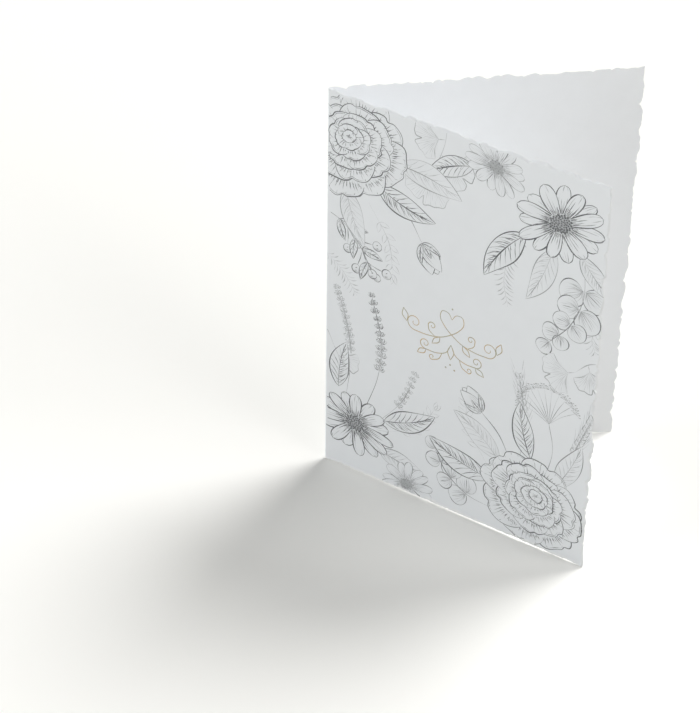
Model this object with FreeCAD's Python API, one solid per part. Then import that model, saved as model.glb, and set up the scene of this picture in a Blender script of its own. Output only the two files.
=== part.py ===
import FreeCAD, Part
import math
import os

# A greeting card: one sheet of thick cotton paper, folded once down its middle and standing
# half open on its lower edges. All sizes are in millimetres and angles in degrees, with +Z up.
# The fold stands upright on the -X side, the printed front leaf on the -Y side and the back
# leaf on the +Y side. The origin lies under the middle of the card, on the surface it stands on.

# Sheet
LEAF_WIDTH = 105.6  # from the outside of the fold to a leaf's farthest reach
LEAF_HEIGHT = 149.6  # to the highest reach of the top edge
SHEET_THICKNESS = 0.4

# Fold
OPENING_ANGLE = 43.6  # between the two leaves
FOLD_INNER_RADIUS = 0.3

# Torn edges: how deep the tear bites into the sheet, at the most
TOP_TEAR_DEPTH = 2.2
FREE_TEAR_DEPTH = 1.9
LOWER_TEAR_DEPTH = 0.7
FOOT_LENGTH = 5.0  # stretch beside the fold and beside a corner where the lower tear runs out

# Waves that make up a tear: each one's length, its share of the depth, and how narrow its bites are
TEAR_WAVES = (
    (230.0, 0.28, 1),
    (45.0, 0.20, 1),
    (11.5, 0.22, 2),
    (9.8, 0.20, 2),
    (4.7, 0.10, 1),
)

# Places along the endless tear at which each torn edge of the sheet begins
TOP_TEAR_START = 1006.0
LOWER_TEAR_START = 480.0
FRONT_TEAR_START = 2140.0
BACK_TEAR_START = 2060.0

# The tear also bares a sloping band of fibre along the outer face
BAND_LEAST = 0.3
BAND_MOST = 1.0
BAND_START = 1700.0

CURVE_POINT_SPACING = 1.5  # along a torn edge, under a third of the shortest wave

# Sides of the fold, as factors of Y
FRONT = -1
BACK = 1

HALF_OPENING = math.radians(OPENING_ANGLE / 2)
FOLD_OUTER_RADIUS = FOLD_INNER_RADIUS + SHEET_THICKNESS
FLAT_LENGTH = LEAF_WIDTH - FOLD_OUTER_RADIUS  # of a leaf, from the bend's end outwards

# The bend's axis, set back so that the origin is half way from the fold to the free edges
FREE_EDGE_REACH = FLAT_LENGTH * math.cos(HALF_OPENING) - FOLD_INNER_RADIUS * math.sin(HALF_OPENING)
BEND_AXIS_X = (FOLD_OUTER_RADIUS - FREE_EDGE_REACH) / 2


def raggedness(along):
    """From 0 to 1 along a tear: slow swells and narrower bites that never quite repeat."""
    total = 0.0
    for wave_length, share, narrowness in TEAR_WAVES:
        bite = 0.5 + 0.5 * math.cos(2 * math.pi * along / wave_length)
        total += share * bite ** narrowness
    return total


def run_out(distance):
    """From 0 at a foot of the card to 1 where the lower tear has its full depth."""
    part = min(1.0, distance / FOOT_LENGTH)
    return part * part * (3 - 2 * part)


def top_tear(side, distance):
    """Bite into the top edge, at a distance from the fold along one leaf."""
    return TOP_TEAR_DEPTH * raggedness(TOP_TEAR_START + side * distance)


def lower_tear(side, distance):
    """Bite into the lower edge: none at the fold and the free corners, which the card stands on."""
    ragged = raggedness(LOWER_TEAR_START + side * distance)
    return LOWER_TEAR_DEPTH * ragged * run_out(distance) * run_out(FLAT_LENGTH - distance)


def free_tear(side, level):
    """Bite into a leaf's free edge, at a height."""
    start = FRONT_TEAR_START if side == FRONT else BACK_TEAR_START
    return FREE_TEAR_DEPTH * raggedness(start + level)


def band_width(along):
    """Width of the bared fibre on the outer face."""
    return BAND_LEAST + (BAND_MOST - BAND_LEAST) * raggedness(BAND_START + along)


def on_leaf(side, distance, radius, height):
    """Point on a leaf: its distance from the bend's end and its radius from the bend's axis."""
    x = distance * math.cos(HALF_OPENING) - radius * math.sin(HALF_OPENING)
    y = side * (distance * math.sin(HALF_OPENING) + radius * math.cos(HALF_OPENING))
    return FreeCAD.Vector(BEND_AXIS_X + x, y, height)


def torn_edge(length, point_at):
    """Smooth curve through the points that point_at gives for even fractions of a length."""
    count = math.ceil(length / CURVE_POINT_SPACING)
    curve = Part.BSplineCurve()
    curve.interpolate([point_at(step / count) for step in range(count + 1)])
    return curve.toShape()


def leaf_outline(side, radius, band_share):
    """Closed outline of a leaf's inner face (band share 0) or outer face (band share 1)."""

    def top_height(distance):
        return LEAF_HEIGHT - top_tear(side, distance) - band_share * band_width(side * distance)

    def foot_height(distance):
        return lower_tear(side, distance) + band_share * band_width(side * distance)

    def width(level):
        return FLAT_LENGTH - free_tear(side, level) - band_share * band_width(FLAT_LENGTH + level)

    corner_foot = foot_height(FLAT_LENGTH)
    corner_rise = top_height(FLAT_LENGTH) - corner_foot

    def top_point(part):
        return on_leaf(side, part * width(LEAF_HEIGHT), radius, top_height(part * FLAT_LENGTH))

    def free_point(part):
        level = 1 - part
        return on_leaf(side, width(level * LEAF_HEIGHT), radius, corner_foot + level * corner_rise)

    def lower_point(part):
        distance = 1 - part
        return on_leaf(side, distance * width(0), radius, foot_height(distance * FLAT_LENGTH))

    fold_line = Part.makeLine(lower_point(1), top_point(0))
    top_edge = torn_edge(FLAT_LENGTH, top_point)
    free_edge = torn_edge(LEAF_HEIGHT, free_point)
    lower_edge = torn_edge(FLAT_LENGTH, lower_point)
    return Part.Wire([fold_line, top_edge, free_edge, lower_edge])


def make_leaf(side):
    """One flat leaf, whose torn edges slope from its inner face in to its outer face."""
    inner = leaf_outline(side, FOLD_INNER_RADIUS, 0)
    outer = leaf_outline(side, FOLD_OUTER_RADIUS, 1)
    return Part.makeLoft([inner, outer], True, True)


def make_fold():
    """The bend: the sheet's section at the back leaf's root, turned about the bend's axis."""
    top = LEAF_HEIGHT - top_tear(BACK, 0)
    foot = lower_tear(BACK, 0)
    band = band_width(0)
    section = Part.makePolygon([
        on_leaf(BACK, 0, FOLD_INNER_RADIUS, foot),
        on_leaf(BACK, 0, FOLD_INNER_RADIUS, top),
        on_leaf(BACK, 0, FOLD_OUTER_RADIUS, top - band),
        on_leaf(BACK, 0, FOLD_OUTER_RADIUS, foot + band),
        on_leaf(BACK, 0, FOLD_INNER_RADIUS, foot),
    ])
    bend_axis = FreeCAD.Vector(BEND_AXIS_X, 0, 0)
    upright = FreeCAD.Vector(0, 0, 1)
    return Part.Face(section).revolve(bend_axis, upright, 180 - OPENING_ANGLE)


def make_card():
    return make_fold().fuse([make_leaf(FRONT), make_leaf(BACK)]).removeSplitter()


def main():
    card = make_card()
    os.makedirs("parts", exist_ok=True)
    card.exportStep("parts/card.step")
    box = card.optimalBoundingBox(False)
    print(f"card {box.XLength:.2f} x {box.YLength:.2f} x {box.ZLength:.2f} mm, {card.Volume:.0f} mm3")
    print(f"solids {len(card.Solids)}, faces {len(card.Faces)}, closed and valid {card.isValid()}")


main()
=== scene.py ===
import math
import random

import bmesh
import bpy
import numpy as np
from mathutils import Matrix, Vector
from mathutils.geometry import delaunay_2d_cdt


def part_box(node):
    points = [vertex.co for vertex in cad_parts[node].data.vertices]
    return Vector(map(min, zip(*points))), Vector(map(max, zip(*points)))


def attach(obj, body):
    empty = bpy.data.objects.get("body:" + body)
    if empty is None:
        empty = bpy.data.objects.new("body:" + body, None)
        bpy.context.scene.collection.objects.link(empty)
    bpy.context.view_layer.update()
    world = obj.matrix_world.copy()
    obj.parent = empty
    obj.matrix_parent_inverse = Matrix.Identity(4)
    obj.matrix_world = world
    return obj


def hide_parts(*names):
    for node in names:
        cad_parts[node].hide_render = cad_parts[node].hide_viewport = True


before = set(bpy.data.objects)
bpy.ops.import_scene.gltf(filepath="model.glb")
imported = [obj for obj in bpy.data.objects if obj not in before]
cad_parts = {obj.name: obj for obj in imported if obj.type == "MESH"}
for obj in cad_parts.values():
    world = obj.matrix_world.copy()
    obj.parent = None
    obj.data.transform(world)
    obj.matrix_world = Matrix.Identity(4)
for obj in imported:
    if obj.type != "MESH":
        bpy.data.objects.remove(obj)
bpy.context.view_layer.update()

# The looks of a greeting card: the torn paper sheet, the grey print on its front leaf and the gold
# foil ornament in the middle of it. Sizes are in millimetres until a mesh is made.
MM = 0.001

# Sheet, as the solid has it
LEAF_WIDTH = 105.6
LEAF_HEIGHT = 149.6
OPENING_ANGLE = 43.6
FOLD_INNER_RADIUS = 0.3
FOLD_OUTER_RADIUS = 0.7
TOP_TEAR_DEPTH = 2.2
FREE_TEAR_DEPTH = 1.9
LOWER_TEAR_DEPTH = 0.7
FOOT_LENGTH = 5.0
TEAR_WAVES = (
    (230.0, 0.28, 1),
    (45.0, 0.20, 1),
    (11.5, 0.22, 2),
    (9.8, 0.20, 2),
    (4.7, 0.10, 1),
)
TOP_TEAR_START = 1006.0
LOWER_TEAR_START = 480.0
FRONT_TEAR_START = 2140.0
BACK_TEAR_START = 2060.0
BAND_LEAST = 0.3
BAND_MOST = 1.0
BAND_START = 1700.0

# Sides of the fold, as factors of Y and of the distance along the unrolled sheet
FRONT = -1
BACK = 1

HALF_OPENING = math.radians(OPENING_ANGLE / 2)
FLAT_LENGTH = LEAF_WIDTH - FOLD_OUTER_RADIUS
BEND_AXIS_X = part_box("card")[0].x / MM + FOLD_OUTER_RADIUS
BEND_HALF_ANGLE = math.pi / 2 - HALF_OPENING
BEND_REACH = FOLD_OUTER_RADIUS * BEND_HALF_ANGLE  # of the outer face, from the fold's middle

# Fine detail of the torn edge, all of it inside the solid's outline
EDGE_STEP = 0.33
BEND_STEPS = 14
BAND_ROWS = 6
NICK_SPACING = 7.0
NICK_DEPTH = (0.15, 0.6)
NICK_WIDTH = (0.3, 0.8)
FRAY_DEPTH = 0.09
# Whiteness of the torn band: partly the bared fibre's own colour, partly painted highlight, as the lower
# edge is painted much whiter than the top and free edges
LOWER_WHITENESS_AND_HIGHLIGHT = 1.0  # of the bared fibre, from 0 as the paper's face to 1, set high here as painted highlight
UPPER_WHITENESS_AND_HIGHLIGHT = 0.12
CORNER_REST = 1.5  # the fine tear sets in from 1.5 to 2.5 times this far from a free corner
FIBRE_COUNT = 1500
FIBRE_LENGTH = (0.2, 0.75)
FIBRE_RADIUS = 0.009
FIBRE_POINTS = 5  # along a fibre

# Lattice of the sheet's faces: fine where the print shades it
FINE_LATTICE = 0.75
PLAIN_LATTICE = 3.5
RING_SPACINGS = (0.7, 1.5)  # of the rows beside a torn edge, where the lattice is coarser
RING_MARGIN = 0.9 * EDGE_STEP
FOLD_ROWS = 90  # of faces up the bend

# Print: widths in millimetres, tones from 0, bare paper, to 1, full ink
CLIP_STEP = 0.2  # between the points at which a line is tested for what hides it
PRINT_EDGE = -0.42  # how far the print runs onto the bend
SINK = 0.006  # of the ridges' feet under the paper's face
OUTLINE_WIDTH = 0.44
HATCH_WIDTH = 0.25
FAINT_WIDTH = 0.36
# Rise of each kind's ridges, and the tone of their flanks as a share of their crest's
PRINT_RIDGES = {"outlines": (0.015, 0.85), "hatching": (0.012, 0.8), "faint": (0.008, 0.2)}
PRINT_MARGIN = 0.05  # between the print and the torn band
FOIL_WIDTH = 0.42
FOIL_RISE = 0.02
ORNAMENT_CENTRE = (49.5, 70.5)

# Camera: its place, where it looks and its focal length, fitted to the photograph's corners
CAMERA_PLACE = (102.4, -677.8, 531.3)
CAMERA_AZIMUTH = 11.91
CAMERA_ELEVATION = 35.06
CAMERA_ROLL = 0.88
CAMERA_FOCAL_PX = 2461.0
FRAME_HEIGHT_PX = 713
SENSOR_WIDTH = 36.0

# Light: a soft key lamp behind and to the right, with low and softer lamps on both sides and behind.
# Each lamp: azimuth from +X towards +Y, elevation, strength, softness and colour, angles in degrees
LAMPS = {
    "key": (50.0, 50.0, 2.5, 32.0, (1.0, 0.992, 0.975)),
    "left": (-152.0, 8.0, 2.68, 42.0, (0.985, 1.0, 1.0)),
    "right": (-18.0, 13.0, 2.8, 52.0, (1.0, 0.985, 0.96)),
    "rear": (165.0, 5.0, 1.45, 34.0, (0.99, 1.0, 1.0)),
}
SKY_COLOUR = (0.97, 0.99, 1.0)
SKY_STRENGTH = 0.05
FLOOR_SIZE = 6.0  # metres

# Colours: a noise mixes each pair
PAPER = (0.812, 0.832, 0.858)
MOTTLE_SHARES = (0.990, 1.008)  # of the paper's colour
TORN_PAPER = (0.89, 0.90, 0.90)
INK = (0.030, 0.032, 0.036)
FOIL_SHADES = ((0.38, 0.365, 0.27), (0.53, 0.385, 0.20))
FOIL_FLECK = (0.34, 0.335, 0.29)
FLOOR_SHADES = ((0.41, 0.40, 0.365), (0.42, 0.41, 0.375))
FLOOR_SEEN = (0.985, 0.982, 0.958)

# Surfaces: scales of the noises, and depths of the relief in metres
FELT_SCALE = 1100.0
FELT_DEPTH = 0.00004
FIBRE_SCALE = 5200.0
FIBRE_DEPTH = 0.000012
MOTTLE_SCALE = 160.0
LOOSE_FIBRE_SCALE = 2500.0
INK_GRAIN_SCALE = 7000.0
FOIL_DRIFT_SCALE = 120.0
FOIL_FLECK_SCALE = 420.0
FOIL_WEAR_SCALE = 2600.0
FOIL_WEAR_DEPTH = 0.00001
FLOOR_GRAIN_SCALE = 40.0
PAPER_SHEEN = 0.25

# Sockets of a colour mix node
MIX_FIRST = 6
MIX_SECOND = 7
MIX_RESULT = 2


# Tears, by the solid's formulas

def raggedness(along):
    total = 0.0
    for wave_length, share, narrowness in TEAR_WAVES:
        total = total + share * (0.5 + 0.5 * np.cos(2 * math.pi * along / wave_length)) ** narrowness
    return total


def eased(part):
    """From 0 to 1 as part does, level at both ends."""
    return part * part * (3 - 2 * part)


def run_out(distance):
    return eased(np.clip(distance / FOOT_LENGTH, 0, 1))


def top_tear(side, distance):
    return TOP_TEAR_DEPTH * raggedness(TOP_TEAR_START + side * distance)


def lower_tear(side, distance):
    ragged = raggedness(LOWER_TEAR_START + side * distance)
    return LOWER_TEAR_DEPTH * ragged * run_out(distance) * run_out(FLAT_LENGTH - distance)


def free_tear(side, level):
    start = FRONT_TEAR_START if side == FRONT else BACK_TEAR_START
    return FREE_TEAR_DEPTH * raggedness(start + level)


def band_width(along):
    return BAND_LEAST + (BAND_MOST - BAND_LEAST) * raggedness(BAND_START + along)


def top_height(side, distance, band):
    return LEAF_HEIGHT - top_tear(side, distance) - band * band_width(side * distance)


def foot_height(side, distance, band):
    return lower_tear(side, distance) + band * band_width(side * distance)


def leaf_width(side, level, band):
    return FLAT_LENGTH - free_tear(side, level) - band * band_width(FLAT_LENGTH + level)


def on_sheet(along, height, radius):
    """Places of points on the folded sheet, from the unrolled sheet: along is the distance from the
    fold's middle, below 0 on the front leaf, and radius the distance from the bend's axis."""
    along, height, radius = np.broadcast_arrays(along, height, radius)
    side = np.where(along < 0, FRONT, BACK)
    angle = np.minimum(np.abs(along) / FOLD_OUTER_RADIUS, BEND_HALF_ANGLE)
    reach = np.maximum(np.abs(along) - BEND_REACH, 0)
    x = BEND_AXIS_X - radius * np.cos(angle) + reach * math.cos(HALF_OPENING)
    y = side * (radius * np.sin(angle) + reach * math.sin(HALF_OPENING))
    return np.stack([x, y, height], 1)


# Perimeter of the sheet

def edge_parts(length):
    """Even fractions from 0 to 1 along an edge."""
    return np.linspace(0, 1, math.ceil(length / EDGE_STEP) + 1)


def upright_run(side, part, band, height_at):
    """Points (along, height) of a leaf's top or lower edge, where part is the fraction from the fold."""
    level = LEAF_HEIGHT if height_at is top_height else 0.0
    distance = part * leaf_width(side, level, band)
    return side * (BEND_REACH + distance), height_at(side, part * FLAT_LENGTH, band)


def free_run(side, level, band, _):
    """Points of a leaf's free edge, where level is the fraction of the way up."""
    corner_foot = foot_height(side, FLAT_LENGTH, band)
    corner_top = top_height(side, FLAT_LENGTH, band)
    along = side * (BEND_REACH + leaf_width(side, level * LEAF_HEIGHT, band))
    return along, corner_foot + level * (corner_top - corner_foot)


def bend_run(order, along, band, height_at):
    """Points of the bend's upper or lower edge, forwards (order 1) or backwards (order -1)."""
    return order * along, height_at(BACK, 0.0, band) + 0 * along


def perimeter(wobble):
    """Closed outline of the inner face (wobble None) or of the outer face, whose band is as wide as
    the solid's times the wobble. Runs along the top from the front leaf to the back leaf, down, and
    back along the foot. Gives each point's (along, height) and the inward direction of its edge."""
    leaf = edge_parts(FLAT_LENGTH)
    free = edge_parts(LEAF_HEIGHT)
    bend = np.linspace(-BEND_REACH, BEND_REACH, BEND_STEPS + 1)[1:-1]
    stretches = (
        (upright_run, FRONT, leaf[::-1], top_height, (0.0, -1.0)),
        (bend_run, 1, bend, top_height, (0.0, -1.0)),
        (upright_run, BACK, leaf[:-1], top_height, (0.0, -1.0)),
        (free_run, BACK, free[:0:-1], None, (-1.0, 0.0)),
        (upright_run, BACK, leaf[::-1], foot_height, (0.0, 1.0)),
        (bend_run, -1, bend, foot_height, (0.0, 1.0)),
        (upright_run, FRONT, leaf[:-1], foot_height, (0.0, 1.0)),
        (free_run, FRONT, free[:-1], None, (1.0, 0.0)),
    )
    points, inwards, first = [], [], 0
    for run, side, part, height_at, inward in stretches:
        band = 0.0 if wobble is None else wobble[first:first + len(part)]
        points.append(np.stack(np.broadcast_arrays(*run(side, part, band, height_at)), 1))
        inwards.append(np.tile(inward, (len(part), 1)))
        first += len(part)
    return np.concatenate(points), np.concatenate(inwards)


def smooth_noise(count, spacing, seed):
    """Closed loop of values from -1 to 1 that turn about once in each spacing's number of points."""
    knots = max(4, round(count / spacing))
    values = np.random.default_rng(seed).uniform(-1, 1, knots)
    place = np.arange(count) * knots / count
    left = np.floor(place).astype(int)
    part = eased(place - left)
    return values[left % knots] * (1 - part) + values[(left + 1) % knots] * part


def near_corners(points):
    """From 0 at the free corners to 1 away from them."""
    reach = BEND_REACH + FLAT_LENGTH - np.abs(points[:, 0])
    rise = np.minimum(points[:, 1], LEAF_HEIGHT - points[:, 1])
    return np.clip(np.maximum(reach, rise) / CORNER_REST - 1.5, 0, 1)


def fine_tear(points, inwards):
    """How far the finest raggedness bites inwards at each point of the perimeter: frayed fibre and a
    few sharper nicks. The feet that the card stands on keep their height."""
    count = len(points)
    steps = np.linalg.norm(np.roll(points, -1, 0) - points, axis=1)
    distance = np.cumsum(steps)
    fray = np.abs(smooth_noise(count, 2.2, 11)) * 0.6 + np.abs(smooth_noise(count, 6.5, 12)) * 0.4
    bite = FRAY_DEPTH * fray
    pick = random.Random(7)
    place = 0.0
    while place < distance[-1]:
        place += NICK_SPACING * pick.uniform(0.35, 1.65)
        width = pick.uniform(*NICK_WIDTH)
        slope = pick.uniform(0.5, 1.6)
        away = distance - place
        reach = np.where(away < 0, width * slope, width / slope)
        bite = bite + pick.uniform(*NICK_DEPTH) * np.exp(-(away / reach) ** 2)
    lower = inwards[:, 1] > 0
    leaf_distance = np.abs(points[:, 0]) - BEND_REACH
    standing = run_out(leaf_distance) * run_out(FLAT_LENGTH - leaf_distance)
    return bite * near_corners(points) * np.where(lower, 0.6 * standing, 1.0)


class Perimeter:
    """The torn edge's inner and outer outlines and the clear boundary of the outer face."""

    def __init__(self):
        plain, inwards = perimeter(None)
        count = len(plain)
        wobble = 1 + 0.42 * smooth_noise(count, 4.0, 21) + 0.40 * smooth_noise(count, 15.0, 22)
        band, _ = perimeter(wobble)
        bite = fine_tear(plain, inwards)[:, None]
        self.inner = plain + inwards * bite
        self.outer = band + inwards * bite
        self.inwards = inwards
        in_bend = np.abs(plain[:, 0]) < BEND_REACH - 1e-6
        self.inner[in_bend, 0] = plain[in_bend, 0]
        self.outer[in_bend, 0] = plain[in_bend, 0]

    def room(self, points, outline, side):
        """Least distance, about, from points of one leaf or the bend to the torn edges."""
        top = outline[self.inwards[:, 1] < 0]
        foot = outline[self.inwards[:, 1] > 0][::-1]
        free = outline[self.inwards[:, 0] * side < 0]
        free = free[np.argsort(free[:, 1])]
        above = np.interp(points[:, 0], top[:, 0], top[:, 1]) - points[:, 1]
        below = points[:, 1] - np.interp(points[:, 0], foot[:, 0], foot[:, 1])
        beyond = side * (np.interp(points[:, 1], free[:, 1], free[:, 0]) - points[:, 0])
        return np.minimum(np.minimum(above, below), beyond)


# Line art

def inside(points, outline):
    """Which points lie inside a closed outline."""
    x, y = points[:, :1], points[:, 1:]
    x0, y0 = outline[:, 0], outline[:, 1]
    x1, y1 = np.roll(x0, -1), np.roll(y0, -1)
    crosses = (y0 > y) != (y1 > y)
    rise = np.where(y1 == y0, 1.0, y1 - y0)
    return (crosses & (x < x0 + (y - y0) * (x1 - x0) / rise)).sum(1) % 2 == 1


def curve(points, count):
    """Smooth curve through three points or more."""
    points = np.asarray(points, float)
    ends = np.concatenate([[2 * points[0] - points[1]], points, [2 * points[-1] - points[-2]]])
    place = np.linspace(0, len(points) - 1, count)
    left = np.minimum(place.astype(int), len(points) - 2)
    t = (place - left)[:, None]
    a, b, c, d = (ends[left + i] for i in range(4))
    square = (2 * a - 5 * b + 4 * c - d) * t ** 2
    cube = (3 * b - a - 3 * c + d) * t ** 3
    return 0.5 * (2 * b + (c - a) * t + square + cube)


def resampled(points, step):
    """Even points along a line, a step or less apart."""
    lengths = np.concatenate([[0], np.cumsum(np.linalg.norm(np.diff(points, axis=0), axis=1))])
    count = max(2, math.ceil(lengths[-1] / step) + 1)
    even = np.linspace(0, lengths[-1], count)
    return np.stack([np.interp(even, lengths, points[:, axis]) for axis in (0, 1)], 1)


def place_on(path, part):
    """Point at a fraction of a path."""
    place = part * (len(path) - 1)
    left = min(int(place), len(path) - 2)
    return path[left] + (place - left) * (path[left + 1] - path[left])


def heading_on(path, part):
    step = place_on(path, min(1.0, part + 0.03)) - place_on(path, max(0.0, part - 0.03))
    return math.atan2(step[1], step[0])


def direction(angle):
    """Unit vector at an angle, or one for each angle of an array."""
    return np.stack([np.cos(angle), np.sin(angle)], -1)


def bowed(start, end, bow, count):
    """Smooth line between two points, its middle moved by a vector."""
    return curve([start, (start + end) / 2 + bow, end], count)


def either_side(spine, across, half):
    """The two edges of a shape that lies along a spine."""
    return spine + across * half[:, None], spine - across * half[:, None]


class LineArt:
    """Line drawing on the front leaf, made from the front backwards: each closed shape hides what is
    drawn after it. Points are (distance from the bend, height)."""

    def __init__(self, edges, seed):
        self.edges = edges
        self.random = random.Random(seed)
        self.runs = {kind: [] for kind in PRINT_RIDGES}
        self.covers = []
        self.lows = np.empty((0, 2))
        self.highs = np.empty((0, 2))
        self.weight = 1.0  # of the motif that is being drawn: darker and heavier above 1

    def vary(self, low, high):
        return self.random.uniform(low, high)

    def on_paper(self, points):
        unrolled = np.stack([FRONT * (BEND_REACH + points[:, 0]), points[:, 1]], 1)
        room = self.edges.room(unrolled, self.edges.outer, FRONT)
        return (room > PRINT_MARGIN) & (points[:, 0] > PRINT_EDGE)

    def line(self, kind, points, width, tone, fade=1.0, ends=0.25):
        """A pencil line: it swells in its middle, wavers a little, and its tone goes to fade times its
        first tone at its far end."""
        points = resampled(np.asarray(points, float), CLIP_STEP)
        seen = self.on_paper(points)
        low, high = points.min(0), points.max(0)
        for index in np.nonzero(((self.lows < high) & (self.highs > low)).all(1))[0]:
            seen &= ~inside(points, self.covers[index][0])
        part = np.linspace(0, 1, len(points))
        swell = ends + (1 - ends) * np.sin(math.pi * part) ** 0.6
        press = 0.36 * np.sin(part * self.vary(3, 9) + self.vary(0, 6.3))
        widths = width * (0.5 + 0.5 * self.weight) * swell * (1 + press)
        tones = tone * self.weight * (1 + (fade - 1) * part) * (1 + 0.7 * press) * self.vary(0.85, 1.1)
        breaks = np.nonzero(np.diff(np.concatenate([[0], seen.astype(int), [0]])))[0]
        for first, last in zip(breaks[::2], breaks[1::2]):
            if last - first > 3:
                self.runs[kind].append((points[first:last], widths[first:last], tones[first:last]))

    def outline(self, points, scale=1.0, tone=0.95):
        self.line("outlines", points, OUTLINE_WIDTH * scale, tone)

    def hatch(self, points, tone, fade, scale=1.0):
        self.line("hatching", points, HATCH_WIDTH * scale, tone, fade, ends=0.15)

    def faint(self, points, tone, scale):
        self.line("faint", points, FAINT_WIDTH * scale, tone, ends=0.1)

    def cover(self, outline, shade, root, tip):
        """Hides what is drawn later inside an outline, and shades the paper there from root to tip."""
        outline = np.asarray(outline, float)
        self.covers.append((outline, shade, np.array(root), np.array(tip)))
        self.lows = np.concatenate([self.lows, [outline.min(0)]])
        self.highs = np.concatenate([self.highs, [outline.max(0)]])

    def wash(self, points):
        """Tone of the soft shading at points of the paper."""
        tone = np.zeros(len(points))
        free = np.ones(len(points), bool)
        for (outline, shade, root, tip), low, high in zip(self.covers, self.lows, self.highs):
            near = np.nonzero(free & ((points > low) & (points < high)).all(1))[0]
            held = near[inside(points[near], outline)]
            axis = tip - root
            part = np.clip((points[held] - root) @ axis / (axis @ axis), 0, 1)
            tone[held] = shade * (1 - part) ** 1.5
            free[held] = False
        return tone


# Motifs

def pointed_leaf(art, base, heading, length, width, bend, veins=7):
    """A pointed leaf with a midrib, side veins and hatching, heavier on one half."""
    part = np.linspace(0, 1, 25)
    turn = heading + bend * (part - 0.3)
    steps = direction(turn) * length / 24
    spine = base + np.cumsum(steps, 0) - steps[0]
    across = direction(turn)[:, ::-1] * (-1, 1)
    wave = 0.04 * np.sin(7 * part + art.vary(0, 6))
    half = 0.5 * width * (np.sin(math.pi * part ** 0.82) ** 0.9)
    sides = [spine + across * (half * (1.04 + wave))[:, None],
             spine - across * (half * (0.96 - wave))[:, None]]
    for side in sides:
        art.outline(side)
    art.outline(spine[:24], 0.95, 1.0)
    for index in range(veins):
        start = 0.08 + 0.74 * index / veins
        for side in sides:
            root, tip = place_on(spine, start), place_on(side, min(0.98, start + 0.22))
            art.hatch(bowed(root, tip, 0.05 * (tip - root)[::-1] * (1, -1), 10), 0.9, 0.5)
    strokes = int(length / 1.2)
    for index in range(strokes):
        start = 0.04 + 0.88 * (index + art.vary(0, 0.7)) / strokes
        for side, most, chance in ((sides[1], 0.95, 1.0), (sides[0], 0.45, 0.35)):
            if art.random.random() < chance:
                root = place_on(spine, start)
                tip = place_on(side, min(0.99, start + 0.14))
                art.hatch([root, root + art.vary(0.3, most) * (tip - root)], 1.0, 0.3)
    art.cover([*sides[0], *sides[1][::-1]], 0.05, spine[0], spine[-1])


def round_leaf(art, base, heading, size):
    """A coin-shaped leaf on a short stalk, hatched from its stalk outwards."""
    angle = np.linspace(0, 2 * math.pi, 41)
    reach = size * (1 - 0.10 * np.cos(angle) ** 2 + 0.03 * np.sin(3 * angle + art.vary(0, 6)))
    ahead = direction(heading)
    centre = base + ahead * size * 1.02
    rim = centre + direction(angle + heading + math.pi) * reach[:, None]
    art.outline(rim[:22])
    art.outline(rim[20:])
    art.outline([base, centre + ahead * size * 0.6], 0.8, 0.85)
    strokes = int(size * 3.0)
    for index in range(strokes):
        spread = (index + 0.5) / strokes * 2 - 1
        root = base + ahead * size * 0.15
        tip = centre + direction(heading + spread * 2.6) * size * art.vary(0.45, 0.88)
        bow = direction(heading + math.copysign(math.pi / 2, spread)) * size * 0.13
        art.hatch(bowed(root, tip, bow, 12), 0.85, 0.25)
    art.cover(rim, 0.07, base, centre + ahead * size)


def ginkgo_leaf(art, base, heading, size, spread=1.2):
    """A fan-shaped leaf with a split in its middle and fine veins that radiate from its stalk."""
    angle = np.linspace(-spread, spread, 61)
    split = 0.30 * np.exp(-(angle / 0.06) ** 2)
    wave = 0.03 * np.sin(9 * angle + art.vary(0, 6)) + 0.02 * np.sin(17 * angle)
    reach = size * (1 - 0.16 * (angle / spread) ** 4 - split + wave)
    ahead = direction(heading)
    rim = base + direction(angle + heading) * reach[:, None]
    art.outline(rim)
    for edge in (rim[0], rim[-1]):
        art.outline(bowed(base, edge, ahead * size * 0.09, 16))
    veins = int(size * 2.2)
    for index in range(veins):
        at = (index + 0.5) / veins
        edge = place_on(rim, at)
        line = bowed(base, edge, ahead * size * 0.07 * abs(2 * at - 1), 20)
        first = 1 if index % 3 == 0 else art.random.randint(4, 8)
        art.hatch(line[first:art.random.randint(14, 20)], 0.85, 0.45)
        if index % 2:
            art.hatch(line[art.random.randint(11, 14):20], 0.35, 1.6)
    art.cover([base, *rim], 0.05, base, base + ahead * size)


def tilted(centre, tilt, squash):
    """Gives a function that lays flat points out as a flower that is seen from one side."""
    turn = np.array([[math.cos(tilt), math.sin(tilt)], [-math.sin(tilt), math.cos(tilt)]])
    return lambda x, y: centre + np.stack(np.broadcast_arrays(x, squash * y), -1) @ turn


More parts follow.
